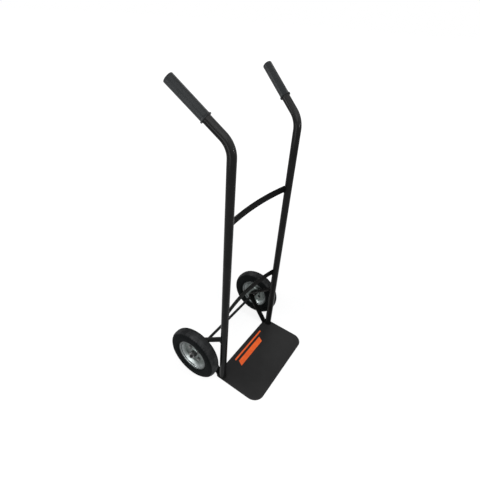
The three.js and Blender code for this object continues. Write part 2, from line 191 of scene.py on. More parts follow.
class Finish:
    """Material in the making: its tree, its shader and the object's own coordinates."""

    def __init__(self, name, metallic=0.0, specular=0.5):
        self.material = bpy.data.materials.new(name)
        self.material.use_nodes = True
        self.tree = self.material.node_tree
        self.tree.nodes.clear()
        inputs = {"Metallic": metallic, "Specular IOR Level": specular}
        self.shader = put(self.tree, "ShaderNodeBsdfPrincipled", inputs)
        put(self.tree, "ShaderNodeOutputMaterial", {"Surface": self.shader.outputs[0]})
        self.place = put(self.tree, "ShaderNodeTexCoord").outputs["Object"]

    def set(self, socket, value):
        """Feeds one socket of the shader."""
        self.tree.links.new(value, self.shader.inputs[socket])

    def set_roughness(self, base, *patterns):
        """Roughness from a base and a share of each pattern, given as pairs."""
        total = base
        for pattern, share in patterns:
            total = calc(self.tree, "ADD", calc(self.tree, "MULTIPLY", pattern, share), total)
        self.set("Roughness", total)

    def set_relief(self, *layers):
        """Bump from layers on top of each other, given as pattern, depth in metres and strength."""
        normal = None
        for height, depth, strength in layers:
            normal = relief(self.tree, height, depth, strength, normal)
        self.set("Normal", normal)

    def grain(self, scale, detail=2.0, roughness=0.5):
        """Noise on the object's own coordinates."""
        return grain(self.tree, self.place, scale, detail, roughness)

    def patches(self, scale, detail, roughness, low, high):
        """Noise as soft patches: 0 below the low level, 1 above the high one."""
        return spread(self.tree, self.grain(scale, detail, roughness), low, high)

    def wheel_radius(self):
        """Distance from the axle's middle line."""
        parts = axes_of(self.tree, self.place)
        across = calc(self.tree, "SUBTRACT", parts["Y"], AXLE.y)
        up = calc(self.tree, "SUBTRACT", parts["Z"], AXLE.z)
        return diagonal(self.tree, across, up)


# Finishes

def black_enamel(name, specular, roughness, tone=0.0058, edge_wear_and_highlight=None, painted_top_sheen=0.0):
    """Sprayed enamel with mottling, orange peel, dull smears and specks of dust.

    Edges that are passed in get rub marks and chips, which on the straps also stand in as a painted
    highlight, and surfaces that face up are painted lighter, as a painted sheen.
    """
    finish = Finish(name, specular=specular)
    tree = finish.tree
    speck_grey, top_sheen_grey, wear_and_highlight_grey = grey(0.03), grey(0.05), grey(0.07, 0.03)
    cloud = finish.patches(scale=14, detail=5, roughness=0.6, low=0.3, high=0.7)
    smear = finish.patches(scale=40, detail=3, roughness=0.5, low=0.5, high=0.72)
    speck = finish.patches(scale=900, detail=2, roughness=0.6, low=0.66, high=0.72)
    color = blend_colors(tree, cloud, grey(tone), grey(tone * 1.5))
    color = tint(tree, color, speck, 0.25, speck_grey)
    # Painted sheen: surfaces that face up are made lighter, standing in for light from above.
    if painted_top_sheen:
        facing = axes_of(tree, put(tree, "ShaderNodeTexCoord").outputs["Normal"])["Z"]
        film = spread(tree, facing, 0.02, 0.5)
        color = tint(tree, color, film, painted_top_sheen, top_sheen_grey)
    # Edge marks: rub marks and chips, which on the straps also serve as a painted highlight along their
    # edges.
    if edge_wear_and_highlight:
        chip = finish.patches(scale=170, detail=5, roughness=0.7, low=0.56, high=0.62)
        wear_and_highlight_share = calc(tree, "ADD", calc(tree, "MULTIPLY", chip, 0.75), 0.1)
        color = tint(tree, color, edge_wear_and_highlight(finish), wear_and_highlight_share, wear_and_highlight_grey)
    finish.set("Base Color", color)
    finish.set_roughness(roughness, (smear, 0.12), (cloud, 0.04))
    peel, grit = finish.grain(380), finish.grain(1500, detail=1)
    finish.set_relief((peel, 0.00003, 0.4), (grit, 0.00001, 0.3))
    return finish.material


def strap_edges(finish):
    """1 along the upper and lower edges of both straps, where wear and a painted highlight go."""
    tree = finish.tree
    height = axes_of(tree, finish.place)["Z"]
    away = [calc(tree, "ABSOLUTE", calc(tree, "SUBTRACT", height, level)) for _, level, _ in STRAPS]
    edge = STRAP_HEIGHT / 2
    return spread(tree, calc(tree, "MINIMUM", away[0], away[1]), edge - 0.0013, edge - 0.0003)


def bracket_edges(finish):
    """1 along both long edges of the bracket bars."""
    tree = finish.tree
    across = calc(tree, "ABSOLUTE", axes_of(tree, finish.place)["X"])
    away = calc(tree, "ABSOLUTE", calc(tree, "SUBTRACT", across, BRACKET_X))
    edge = BRACKET_WIDTH / 2
    return spread(tree, away, edge - 0.0012, edge - 0.0002)


def axle_ends(finish):
    """1 on the ends of the axle, outside the brackets, where the wheels run."""
    tree = finish.tree
    across = calc(tree, "ABSOLUTE", axes_of(tree, finish.place)["X"])
    return spread(tree, across, BRACKET_X + 0.02, BRACKET_X + 0.024)


def plate_edges(finish, reach):
    """1 at the sides, the front and the round front corners of the plate, fading over a distance."""
    tree = finish.tree
    parts = axes_of(tree, finish.place)
    inset = PLATE_HALF_WIDTH - PLATE_FRONT_CORNER
    beside = calc(tree, "MAXIMUM", calc(tree, "SUBTRACT", calc(tree, "ABSOLUTE", parts["X"]), inset), 0.0)
    forward = calc(tree, "MULTIPLY", parts["Y"], -1.0)
    ahead = calc(tree, "MAXIMUM", calc(tree, "SUBTRACT", forward, PLATE_FRONT - PLATE_FRONT_CORNER), 0.0)
    return spread(tree, diagonal(tree, beside, ahead), PLATE_FRONT_CORNER - reach, PLATE_FRONT_CORNER)


def plate_enamel():
    """Satin enamel on the toe plate, with fine scuffs from loads, a rubbed edge and small chips."""
    finish = Finish("satin_plate_enamel", specular=0.06)
    tree = finish.tree
    scuff_grey, rubbed_grey, chip_grey = grey(0.045, 0.02), grey(0.04, 0.01), grey(0.16, 0.03)
    stretch = {"Vector": finish.place, "Scale": (1.0, 9.0, 1.0), "Rotation": (0, 0, 0.3)}
    stretched = put(tree, "ShaderNodeMapping", stretch).outputs[0]
    scuff = spread(tree, grain(tree, stretched, scale=55, detail=6, roughness=0.7), 0.6, 0.75)
    cloud = finish.patches(scale=11, detail=4, roughness=0.6, low=0.3, high=0.7)
    chip = finish.patches(scale=130, detail=5, roughness=0.68, low=0.6, high=0.66)
    color = blend_colors(tree, cloud, grey(0.0165), grey(0.0200))
    color = tint(tree, color, scuff, 0.22, scuff_grey)
    color = tint(tree, color, plate_edges(finish, reach=0.006), 0.2, rubbed_grey)
    color = tint(tree, color, plate_edges(finish, reach=0.0014), chip, chip_grey)
    finish.set("Base Color", color)
    finish.set_roughness(0.38, (scuff, 0.14), (cloud, 0.08))
    finish.set_relief((finish.grain(420), 0.00014, 0.6), (finish.grain(1300), 0.00006, 0.4))
    return finish.material


def grip_rubber():
    """Dark grey moulded rubber with a soft shine, faint flow marks and a little chalky bloom."""
    finish = Finish("grey_grip_rubber", specular=0.06)
    tree = finish.tree
    dark, light = (0.0188, 0.0204, 0.0212, 1), (0.0228, 0.0245, 0.0254, 1)
    cloud = finish.patches(scale=38, detail=4, roughness=0.6, low=0.3, high=0.75)
    chalk = finish.patches(scale=260, detail=4, roughness=0.65, low=0.56, high=0.75)
    finish.set("Base Color", tint(tree, blend_colors(tree, cloud, dark, light), chalk, 0.2, grey(0.035)))
    finish.set_roughness(0.32, (chalk, 0.1), (cloud, 0.1))
    finish.set_relief((finish.grain(120), 0.00005, 0.3), (finish.grain(1100, detail=1), 0.00001, 0.3))
    return finish.material


def tyre_rubber():
    """Black tyre rubber with a lighter tread, part dust and part painted highlight, moulding rings and a fine
    grain.
    """
    finish = Finish("black_tyre_rubber", specular=0.018)
    tree = finish.tree
    dark, light = (0.0026, 0.0032, 0.0034, 1), (0.0050, 0.0056, 0.0058, 1)
    tread_dust_and_sheen_grey = (0.043, 0.044, 0.045, 1)
    ring_radians_per_metre = 5200.0
    dust_and_sheen_starts, dust_and_sheen_full = 0.0935, 0.0985
    radius = finish.wheel_radius()
    cloud = finish.patches(scale=26, detail=5, roughness=0.65, low=0.35, high=0.75)
    # Lighter tread: dust, and a painted highlight standing in for light on the crown.
    tread = spread(tree, radius, dust_and_sheen_starts, dust_and_sheen_full)
    dust_and_sheen_share = calc(tree, "ADD", calc(tree, "MULTIPLY", cloud, 0.65), 0.2)
    finish.set("Base Color", tint(tree, blend_colors(tree, cloud, dark, light), tread, dust_and_sheen_share, tread_dust_and_sheen_grey))
    ring = calc(tree, "SINE", calc(tree, "MULTIPLY", radius, ring_radians_per_metre))
    fine = finish.grain(1200, detail=3, roughness=0.6)
    finish.set_roughness(0.62, (tread, -0.14), (cloud, 0.12))
    finish.set_relief((ring, 0.00003, 0.5), (fine, 0.00016, 0.6))
    return finish.material


def rim_zinc():
    """Zinc on pressed steel with drawing rings and faint spangle; the disc and inner wall are painted darker
    than the outer wall, and the rolled lip darker still, as painted shade.
    """
    finish = Finish("pressed_rim_zinc", metallic=1.0)
    tree = finish.tree
    radius = finish.wheel_radius()
    cell = put(tree, "ShaderNodeTexVoronoi", {"Vector": finish.place, "Scale": 190.0}).outputs["Color"]
    spangle = put(tree, "ShaderNodeSeparateColor", {0: cell}).outputs[0]
    cloud = finish.patches(scale=55, detail=4, roughness=0.6, low=0.3, high=0.7)
    # Painted shade: the disc and the inner part of the wall are darker than the outer wall.
    disc = blend_colors(tree, cloud, (0.078, 0.090, 0.086, 1), (0.125, 0.141, 0.136, 1))
    wall = blend_colors(tree, spangle, (0.165, 0.180, 0.180, 1), (0.225, 0.242, 0.242, 1))
    # Painted shade: the rolled lip next to the tyre is made dark.
    lip = (0.050, 0.056, 0.056, 1)
    wall_starts, wall_full, lip_starts, lip_full = 0.044, 0.0535, 0.0570, 0.0588
    color = blend_colors(tree, spread(tree, radius, wall_starts, wall_full), disc, wall)
    color = blend_colors(tree, spread(tree, radius, lip_starts, lip_full), color, lip)
    finish.set("Base Color", color)
    by_radius = put(tree, "ShaderNodeCombineXYZ", {"X": radius}).outputs[0]
    drawn = grain(tree, by_radius, scale=900, detail=3, roughness=0.6)
    finish.set_roughness(0.26, (cloud, 0.12), (spangle, 0.06))
    finish.set_relief((drawn, 0.00003, 0.5))
    return finish.material


def plain_steel(name, dark, light, roughness):
    """Turned or stamped steel with a greasy, uneven tone."""
    finish = Finish(name, metallic=1.0)
    cloud = finish.patches(scale=260, detail=4, roughness=0.65, low=0.3, high=0.7)
    finish.set("Base Color", blend_colors(finish.tree, cloud, grey(dark, 0.008), grey(light, 0.004)))
    finish.set_roughness(roughness, (cloud, 0.18))
    finish.set_relief((finish.grain(2400), 0.00005, 0.5))
    return finish.material


def bush_nylon():
    """Dark moulded nylon with a dry surface."""
    finish = Finish("dark_bush_nylon", specular=0.25)
    dark, light = (0.030, 0.036, 0.035, 1), (0.048, 0.055, 0.053, 1)
    cloud = finish.patches(scale=320, detail=3, roughness=0.5, low=0.3, high=0.7)
    finish.set("Base Color", blend_colors(finish.tree, cloud, dark, light))
    finish.set_roughness(0.45, (cloud, 0.15))
    finish.set_relief((finish.grain(2600), 0.00006, 0.5))
    return finish.material


def stripe_paint():
    """Orange stripe paint, rubbed by loads."""
    finish = Finish("orange_stripe_paint", specular=0.2)
    tree = finish.tree
    deep, light, worn = (0.70, 0.095, 0.016, 1), (0.80, 0.125, 0.025, 1), (0.25, 0.05, 0.02, 1)
    cloud = finish.patches(scale=40, detail=4, roughness=0.6, low=0.3, high=0.7)
    rub = finish.patches(scale=260, detail=5, roughness=0.7, low=0.6, high=0.72)
    finish.set("Base Color", tint(tree, blend_colors(tree, cloud, deep, light), rub, 0.5, worn))
    finish.set_roughness(0.42, (cloud, 0.12))
    finish.set_relief((finish.grain(900), 0.00008, 0.5))
    return finish.material


# The tubes and the axle carry a painted sheen on the surfaces that face up.
TUBE_ENAMEL = black_enamel("black_tube_enamel", specular=0.05, roughness=0.11, tone=0.0052, painted_top_sheen=0.3)
AXLE_ENAMEL = black_enamel(
    "black_axle_enamel", specular=0.03, roughness=0.16, tone=0.0048, edge_wear_and_highlight=axle_ends, painted_top_sheen=0.2,
)
# The straps' lighter edges are wear and also a painted highlight.
STRAP_ENAMEL = black_enamel(
    "black_strap_enamel", specular=0.006, roughness=0.24, tone=0.0044, edge_wear_and_highlight=strap_edges,
)
BRACKET_ENAMEL = black_enamel(
    "black_bracket_enamel", specular=0.006, roughness=0.24, edge_wear_and_highlight=bracket_edges,
)
WELD_ENAMEL = black_enamel("black_weld_enamel", specular=0.03, roughness=0.26)
PLATE_ENAMEL = plate_enamel()
GRIP_RUBBER = grip_rubber()
TYRE_RUBBER = tyre_rubber()
RIM_ZINC = rim_zinc()
WASHER_STEEL = plain_steel("washer_steel", dark=0.09, light=0.19, roughness=0.34)
BOLT_STEEL = plain_steel("bolt_steel", dark=0.125, light=0.205, roughness=0.32)
HUB_STEEL = plain_steel("hub_steel", dark=0.06, light=0.11, roughness=0.38)
BUSH_NYLON = bush_nylon()
STRIPE_PAINT = stripe_paint()


# Mesh helpers

ON_AXIS = 1e-7


def shade(mesh, angle=32):
    """Smooth shading that keeps the corners sharper than an angle in degrees."""
    mesh.polygons.foreach_set("use_smooth", [True] * len(mesh.polygons))
    mesh.set_sharp_from_angle(angle=math.radians(angle))


def settle(mesh):
    """Joins doubled corners and turns the faces outwards."""
    work = bmesh.new()
    work.from_mesh(mesh)
    bmesh.ops.remove_doubles(work, verts=work.verts, dist=1e-6)
    bmesh.ops.recalc_face_normals(work, faces=work.faces)
    work.to_mesh(mesh)
    work.free()


def build(name, vertices, faces, finish):
    """Mesh of a closed surface with one finish."""
    mesh = bpy.data.meshes.new(name)
    mesh.from_pydata(vertices, [], faces)
    mesh.materials.append(finish)
    settle(mesh)
    shade(mesh)
    return mesh


def stand(name, mesh):
    """Object that shows a mesh where its corners are."""
    piece = bpy.data.objects.new(name, mesh)
    bpy.context.scene.collection.objects.link(piece)
    return piece


def settle_modifiers(piece):
    """Turns the object's modifiers into plain mesh."""
    graph = bpy.context.evaluated_depsgraph_get()
    done = bpy.data.meshes.new_from_object(piece.evaluated_get(graph))
    piece.modifiers.clear()
    piece.data = done


def hand_over(piece, body, slot, *nodes, place=None, angle=None):
    """Gives a finished piece its body and hides the nodes that it stands for; the slot is not used.

    A piece with a place is moved there first, and one with an angle is shaded anew.
    """
    if place is not None:
        piece.data.transform(place)
    if angle is not None:
        shade(piece.data, angle)
    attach(piece, body)
    if nodes:
        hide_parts(*nodes)


def arc(center, radius, start, end, steps):
    """Points of an arc, as pairs."""
    points = []
    for step in range(steps + 1):
        angle = start + (end - start) * step / steps
        points.append((center[0] + radius * math.cos(angle), center[1] + radius * math.sin(angle)))
    return points


def turned(name, section, steps, finish):
    """Closed ring or rod around X; the section gives reach along X and radius, and may end on the axis."""
    vertices, faces, rings = [], [], []
    for reach, radius in section:
        if radius < ON_AXIS:
            rings.append([len(vertices)] * steps)
            vertices.append((reach, 0.0, 0.0))
            continue
        rings.append(list(range(len(vertices), len(vertices) + steps)))
        for step in range(steps):
            angle = 2 * math.pi * step / steps
            vertices.append((reach, radius * math.cos(angle), radius * math.sin(angle)))
    ends_on_axis = section[0][1] < ON_AXIS
    for place in range(len(rings) - 1 if ends_on_axis else len(rings)):
        here, there = rings[place], rings[(place + 1) % len(rings)]
        for step in range(steps):
            after = (step + 1) % steps
            corners = [here[step], there[step], there[after], here[after]]
            kept = list(dict.fromkeys(corners))
            if len(kept) > 2:
                faces.append(kept)
    return build(name, vertices, faces, finish)


def slab(name, outline, thickness, finish):
    """Flat sheet from its outline."""
    count = len(outline)
    vertices = [(x, y, 0.0) for x, y in outline] + [(x, y, thickness) for x, y in outline]
    faces = [list(range(count))[::-1], list(range(count, 2 * count))]
    for item in range(count):
        after = (item + 1) % count
        faces.append([item, after, count + after, count + item])
    return build(name, vertices, faces, finish)


def soften(piece, width):
    """Rounds the sharp edges of a piece."""
    bevel = piece.modifiers.new("edge_rounding", "BEVEL")
    bevel.width = width
    bevel.segments = 3
    bevel.limit_method = "ANGLE"
    bevel.angle_limit = math.radians(40)
    settle_modifiers(piece)
    shade(piece.data, angle=50)


# Trees of geometry nodes

def new_tree(name, inputs):
    """Empty tree with a geometry going in and out and named inputs."""
    tree = bpy.data.node_groups.new(name, "GeometryNodeTree")
    for label, kind in [("Geometry", "Geometry")] + inputs + [("Finish", "Material")]:
        tree.interface.new_socket(label, in_out="INPUT", socket_type="NodeSocket" + kind)
    tree.interface.new_socket("Geometry", in_out="OUTPUT", socket_type="NodeSocketGeometry")
    return tree, put(tree, "NodeGroupInput").outputs


def close_tree(tree, result, given):
    """Ends a tree with plain smooth mesh in its finish."""
    smooth = put(tree, "GeometryNodeSetShadeSmooth", {"Geometry": result})
    plain = put(tree, "GeometryNodeRealizeInstances", {"Geometry": smooth.outputs[0]})
    inputs = {"Geometry": plain.outputs[0], "Material": given["Finish"]}
    painted = put(tree, "GeometryNodeSetMaterial", inputs)
    put(tree, "NodeGroupOutput", {"Geometry": painted.outputs[0]})
    return tree


def grow(name, mesh, tree, values):
    """Runs a tree on a mesh and keeps its result as plain mesh."""
    piece = stand(name, mesh)
    growth = piece.modifiers.new(tree.name, "NODES")
    growth.node_group = tree
    for socket in tree.interface.items_tree:
        if socket.in_out == "INPUT" and socket.name in values:
            growth[socket.identifier] = values[socket.name]
    settle_modifiers(piece)
    return piece


def path_mesh(*lines):
    """Lines of edges, each given as its points and whether it is closed."""
    corners, edges = [], []
    for points, closed in lines:
        first, last = len(corners), len(corners) + len(points) - 1
        corners += [tuple(point) for point in points]
        edges += [(item, item + 1) for item in range(first, last)]
        if closed:
            edges.append((last, first))
    mesh = bpy.data.meshes.new("path")
    mesh.from_pydata(corners, edges, [])
    return mesh


def tube_tree():
    """Round rod along a path."""
    tree, given = new_tree("rod_along_path", [("Radius", "Float"), ("Sides", "Int")])
    path = put(tree, "GeometryNodeMeshToCurve", {"Mesh": given["Geometry"]}).outputs[0]
    round_inputs = {"Resolution": given["Sides"], "Radius": given["Radius"]}
    ring = put(tree, "GeometryNodeCurvePrimitiveCircle", round_inputs)
    inputs = {"Curve": path, "Profile Curve": ring.outputs[0], "Fill Caps": True}
    return close_tree(tree, put(tree, "GeometryNodeCurveToMesh", inputs).outputs[0], given)


def weld_tree():
    """Rippled weld bead along a path, with a fixed unevenness."""
    points_per_ripple, even_width, uneven_width = 6.0, 0.7, 0.6
    sizes = ["Bead Radius", "Ripple Pitch", "Ripple Share", "Seed"]
    tree, given = new_tree("weld_bead", [(label, "Float") for label in sizes])
    path = put(tree, "GeometryNodeMeshToCurve", {"Mesh": given["Geometry"]}).outputs[0]
    step = calc(tree, "DIVIDE", given["Ripple Pitch"], points_per_ripple)
    fine = put(tree, "GeometryNodeResampleCurve", {"Curve": path, "Length": step}, mode="LENGTH").outputs[0]
    along = put(tree, "GeometryNodeSplineParameter").outputs
    turn = calc(tree, "MULTIPLY", calc(tree, "DIVIDE", along["Length"], given["Ripple Pitch"]), 2 * math.pi)
    ripple = calc(tree, "MULTIPLY", calc(tree, "SINE", turn), given["Ripple Share"])
    where = put(tree, "GeometryNodeInputPosition").outputs[0]
    uneven_inputs = {"Vector": where, "W": given["Seed"], "Scale": 160.0}
    uneven = put(tree, "ShaderNodeTexNoise", uneven_inputs, noise_dimensions="4D").outputs["Fac"]
    wavy = calc(tree, "ADD", ripple, even_width)
    width = calc(tree, "ADD", wavy, calc(tree, "MULTIPLY", uneven, uneven_width))
    ring = put(tree, "GeometryNodeCurvePrimitiveCircle", {"Resolution": 12, "Radius": given["Bead Radius"]})
    inputs = {"Curve": fine, "Profile Curve": ring.outputs[0], "Scale": width, "Fill Caps": True}
    return close_tree(tree, put(tree, "GeometryNodeCurveToMesh", inputs).outputs[0], given)


def strap_tree():
    """Flat strap with rounded edges, bowed on an arc between two ends."""
    sizes = ["Half Chord", "Bow", "Height", "Thickness", "Edge Radius"]
    tree, given = new_tree("bowed_strap", [(label, "Float") for label in sizes])
    left = calc(tree, "MULTIPLY", given["Half Chord"], -1.0)
    points = [{"X": left}, {"Y": given["Bow"]}, {"X": given["Half Chord"]}]
    start, middle, end = [put(tree, "ShaderNodeCombineXYZ", point).outputs[0] for point in points]
    bow_inputs = {"Resolution": 60, "Start": start, "Middle": middle, "End": end}
    bow = put(tree, "GeometryNodeCurveArc", bow_inputs, mode="POINTS").outputs[0]
    upright = put(tree, "GeometryNodeSetCurveNormal", {"Curve": bow}, mode="Z_UP").outputs[0]
    flat_inputs = {"Width": given["Thickness"], "Height": given["Height"]}
    flat = put(tree, "GeometryNodeCurvePrimitiveQuadrilateral", flat_inputs).outputs[0]
    corner_inputs = {"Curve": flat, "Radius": given["Edge Radius"], "Count": 4}
    rounded = put(tree, "GeometryNodeFilletCurve", corner_inputs, mode="POLY").outputs[0]
    inputs = {"Curve": upright, "Profile Curve": rounded, "Fill Caps": True}
    return close_tree(tree, put(tree, "GeometryNodeCurveToMesh", inputs).outputs[0], given)


def place_angle(tree, first, second):
    """Angle of a point around an axis, in turns from -0.5 to 0.5."""
    return calc(tree, "DIVIDE", calc(tree, "ARCTAN2", second, first), 2 * math.pi)


def flute_tree():
    """Shallow flutes along a sleeve that lies on X, with plain bands at both ends."""
    sizes = ["Flute Count", "Flute Depth", "Start", "End", "Fade"]
    tree, given = new_tree("grip_flutes", [(label, "Float") for label in sizes])
    parts = axes_of(tree, put(tree, "GeometryNodeInputPosition").outputs[0])
    turn = calc(tree, "MULTIPLY", place_angle(tree, parts["Y"], parts["Z"]), given["Flute Count"])
    wave = calc(tree, "COSINE", calc(tree, "MULTIPLY", turn, 2 * math.pi))
    groove = calc(tree, "ADD", calc(tree, "MULTIPLY", wave, 0.5), 0.5)
    begun = calc(tree, "ADD", given["Start"], given["Fade"])
    ending = calc(tree, "SUBTRACT", given["End"], given["Fade"])
    rise = spread(tree, parts["X"], given["Start"], begun)
    fall = spread(tree, parts["X"], ending, given["End"], 1.0, 0.0)
    full = calc(tree, "MULTIPLY", groove, given["Flute Depth"])
    depth = calc(tree, "MULTIPLY", full, calc(tree, "MULTIPLY", rise, fall))
    outward = put(tree, "ShaderNodeCombineXYZ", {"Y": parts["Y"], "Z": parts["Z"]}).outputs[0]
    unit = put(tree, "ShaderNodeVectorMath", {0: outward}, operation="NORMALIZE").outputs[0]
    inward = calc(tree, "MULTIPLY", depth, -1.0)
    shift = put(tree, "ShaderNodeVectorMath", {0: unit, "Scale": inward}, operation="SCALE").outputs[0]
    moved = put(tree, "GeometryNodeSetPosition", {"Geometry": given["Geometry"], "Offset": shift}).outputs[0]
    return close_tree(tree, moved, given)


def tread_tree():
    """Notches across both shoulders of a tyre that turns around X."""
    flat_share, inner_ramp, outer_ramp = 0.55, 0.0012, 0.0015
    sizes = ["Notch Count", "Notch Depth", "Notch Share", "Inner Reach", "Outer Reach", "Tread Radius"]
    tree, given = new_tree("tyre_tread", [(label, "Float") for label in sizes])
    parts = axes_of(tree, put(tree, "GeometryNodeInputPosition").outputs[0])
    stagger = calc(tree, "MULTIPLY", calc(tree, "GREATER_THAN", parts["X"], 0.0), 0.5)
    turn = calc(tree, "MULTIPLY", place_angle(tree, parts["Y"], parts["Z"]), given["Notch Count"])
    phase = calc(tree, "FRACT", calc(tree, "ADD", turn, stagger))
    from_middle = calc(tree, "ABSOLUTE", calc(tree, "SUBTRACT", phase, 0.5))
    half = calc(tree, "MULTIPLY", given["Notch Share"], 0.5)
    cut = spread(tree, from_middle, calc(tree, "MULTIPLY", half, flat_share), half, 1.0, 0.0)
    reach = calc(tree, "ABSOLUTE", parts["X"])
    begun = calc(tree, "ADD", given["Inner Reach"], inner_ramp)
    ending = calc(tree, "SUBTRACT", given["Outer Reach"], outer_ramp)
    begin = spread(tree, reach, given["Inner Reach"], begun)
    end = spread(tree, reach, ending, given["Outer Reach"], 1.0, 0.0)
    outside = calc(tree, "GREATER_THAN", diagonal(tree, parts["Y"], parts["Z"]), given["Tread Radius"])
    share = calc(tree, "MULTIPLY", calc(tree, "MULTIPLY", cut, outside), calc(tree, "MULTIPLY", begin, end))
    inward = calc(tree, "MULTIPLY", calc(tree, "MULTIPLY", share, given["Notch Depth"]), -1.0)
    normal = put(tree, "GeometryNodeInputNormal").outputs[0]
    shift = put(tree, "ShaderNodeVectorMath", {0: normal, "Scale": inward}, operation="SCALE").outputs[0]
    moved = put(tree, "GeometryNodeSetPosition", {"Geometry": given["Geometry"], "Offset": shift}).outputs[0]
    return close_tree(tree, moved, given)


def bolt_circle_tree():
    """Repeats one bolt on a circle around X."""
    sizes = [("Count", "Int"), ("Circle Radius", "Float"), ("First Turn", "Float")]
    tree, given = new_tree("bolt_circle", sizes)
    spots = put(tree, "GeometryNodeMeshLine", {"Count": given["Count"], "Offset": (0.0, 0.0, 0.0)}).outputs[0]
    item = put(tree, "GeometryNodeInputIndex").outputs[0]
    step = calc(tree, "DIVIDE", 2 * math.pi, given["Count"])
    angle = calc(tree, "ADD", calc(tree, "MULTIPLY", item, step), given["First Turn"])
    turn = put(tree, "ShaderNodeCombineXYZ", {"X": angle}).outputs[0]
    lift = put(tree, "ShaderNodeCombineXYZ", {"Z": given["Circle Radius"]}).outputs[0]
    bolt = put(tree, "GeometryNodeTransform", {"Geometry": given["Geometry"], "Translation": lift}).outputs[0]
    inputs = {"Points": spots, "Instance": bolt, "Rotation": turn}
    return close_tree(tree, put(tree, "GeometryNodeInstanceOnPoints", inputs).outputs[0], given)


ROD_TREE = tube_tree()
WELD_TREE = weld_tree()
STRAP_TREE = strap_tree()
FLUTE_TREE = flute_tree()
TREAD_TREE = tread_tree()
BOLT_TREE = bolt_circle_tree()


# Uprights and grips

def lean(side):
    """Level direction in which a handle leans, back and outwards."""
    return Vector((side * math.sin(HANDLE_SPLAY), math.cos(HANDLE_SPLAY), 0))


def bend_point(side, angle):
    """Point in the bend's middle line after turning by an angle."""
    place = lean(side) * BEND_RADIUS * (1 - math.cos(angle))
    return place + Vector((side * UPRIGHT_X, 0, STRAIGHT_HEIGHT + BEND_RADIUS * math.sin(angle)))


def handle_direction(side):
    """Way along the handle from the bend to its end."""
    return lean(side) * math.sin(BEND_TURN) + Vector((0, 0, math.cos(BEND_TURN)))


def handle_point(side, distance):
    """Point on the handle's middle line at a distance from the bend."""
    return bend_point(side, BEND_TURN) + handle_direction(side) * distance


def make_uprights():
    """Tubes that stand on the plate, bend back and outwards, and end inside the grips."""
    bend_steps = 30
    sizes = {"Radius": TUBE_RADIUS, "Sides": 72, "Finish": TUBE_ENAMEL}
    for label, side in SIDES:
        path = [Vector((side * UPRIGHT_X, 0, PLATE_THICKNESS))]
        path += [bend_point(side, BEND_TURN * step / bend_steps) for step in range(bend_steps + 1)]
        path.append(handle_point(side, HANDLE_RUN - TUBE_END_SETBACK))
        tube = grow(f"{label}_upright_tube", path_mesh((path, False)), ROD_TREE, sizes)
        hand_over(tube, "frame", "frame_paint", f"{label}_upright", angle=40)


def grip_section():
    """Section of the sleeve as reach and radius: its bore, mouth, flange, fluted body and closed end."""
    flange, bore, bore_end = GRIP_FLANGE_RADIUS, TUBE_RADIUS + 0.0001, GRIP_LENGTH - 0.003
    section = [(bore_end, 0.0), (bore_end, bore), (0.0006, bore)]
    section += [(0.0, bore + 0.0005), (0.0, flange - 0.0008), (0.0003, flange - 0.0002), (0.0009, flange)]
    section += [(0.0022, flange), (0.0029, flange - 0.0003), (0.0034, flange - 0.001), (0.0038, 0.0149)]
    section += [(0.0044, 0.0143), (0.0056, GRIP_RADIUS)]
    body = [0.008, 0.0095, 0.011, 0.0125, 0.014, 0.03, 0.05, 0.07]
    body += [0.09, 0.1, 0.1015, 0.103, 0.1045, 0.106, 0.109]
    section += [(reach, GRIP_RADIUS) for reach in body]
    rounding = 0.0018
    section += arc((GRIP_LENGTH - rounding, GRIP_RADIUS - rounding), rounding, math.pi / 2, 0, steps=7)
    section += [(GRIP_LENGTH + 0.0002, 0.006), (GRIP_LENGTH + 0.0003, 0.0)]
    return section


def make_grips():
    """Fluted rubber sleeves on the ends of the handles."""
    sizes = {
        "Flute Count": 12.0, "Flute Depth": 0.00018, "Start": 0.009, "End": 0.108, "Fade": 0.005,
        "Finish": GRIP_RUBBER,
    }
    for label, side in SIDES:
        sleeve = turned(f"{label}_grip_sleeve", grip_section(), steps=176, finish=GRIP_RUBBER)
        piece = grow(f"{label}_grip_sleeve", sleeve, FLUTE_TREE, sizes)
        turn = Vector((1, 0, 0)).rotation_difference(handle_direction(side)).to_matrix().to_4x4()
        place = Matrix.Translation(handle_point(side, HANDLE_RUN - GRIP_LENGTH)) @ turn
        hand_over(piece, "frame", "grip_rubber", f"{label}_grip", place=place, angle=45)


# Toe plate, straps and brackets

def make_toe_plate():
    """Flat sheet with large round corners in front and small ones behind."""
    half, front, back = PLATE_HALF_WIDTH, PLATE_FRONT_CORNER, PLATE_BACK_CORNER
    quarter = math.pi / 2
    outline = arc((half - front, front - PLATE_FRONT), front, -quarter, 0, steps=20)
    outline += arc((half - back, PLATE_BACK - back), back, 0, quarter, steps=10)
    outline += arc((back - half, PLATE_BACK - back), back, quarter, 2 * quarter, steps=10)
    outline += arc((front - half, front - PLATE_FRONT), front, 2 * quarter, 3 * quarter, steps=20)
    plate = stand("toe_plate_sheet", slab("toe_plate_sheet", outline, PLATE_THICKNESS, PLATE_ENAMEL))
    soften(plate, width=0.0007)
    hand_over(plate, "frame", "plate_paint", "toe_plate")


def stripe_outline(left, right, middle, half_height):
    """Slanted bar on the plate."""
    slant = 0.55 * half_height
    corners = [(left - slant, middle - half_height), (right - slant, middle - half_height)]
    corners += [(right + slant, middle + half_height), (left + slant, middle + half_height)]
    return corners


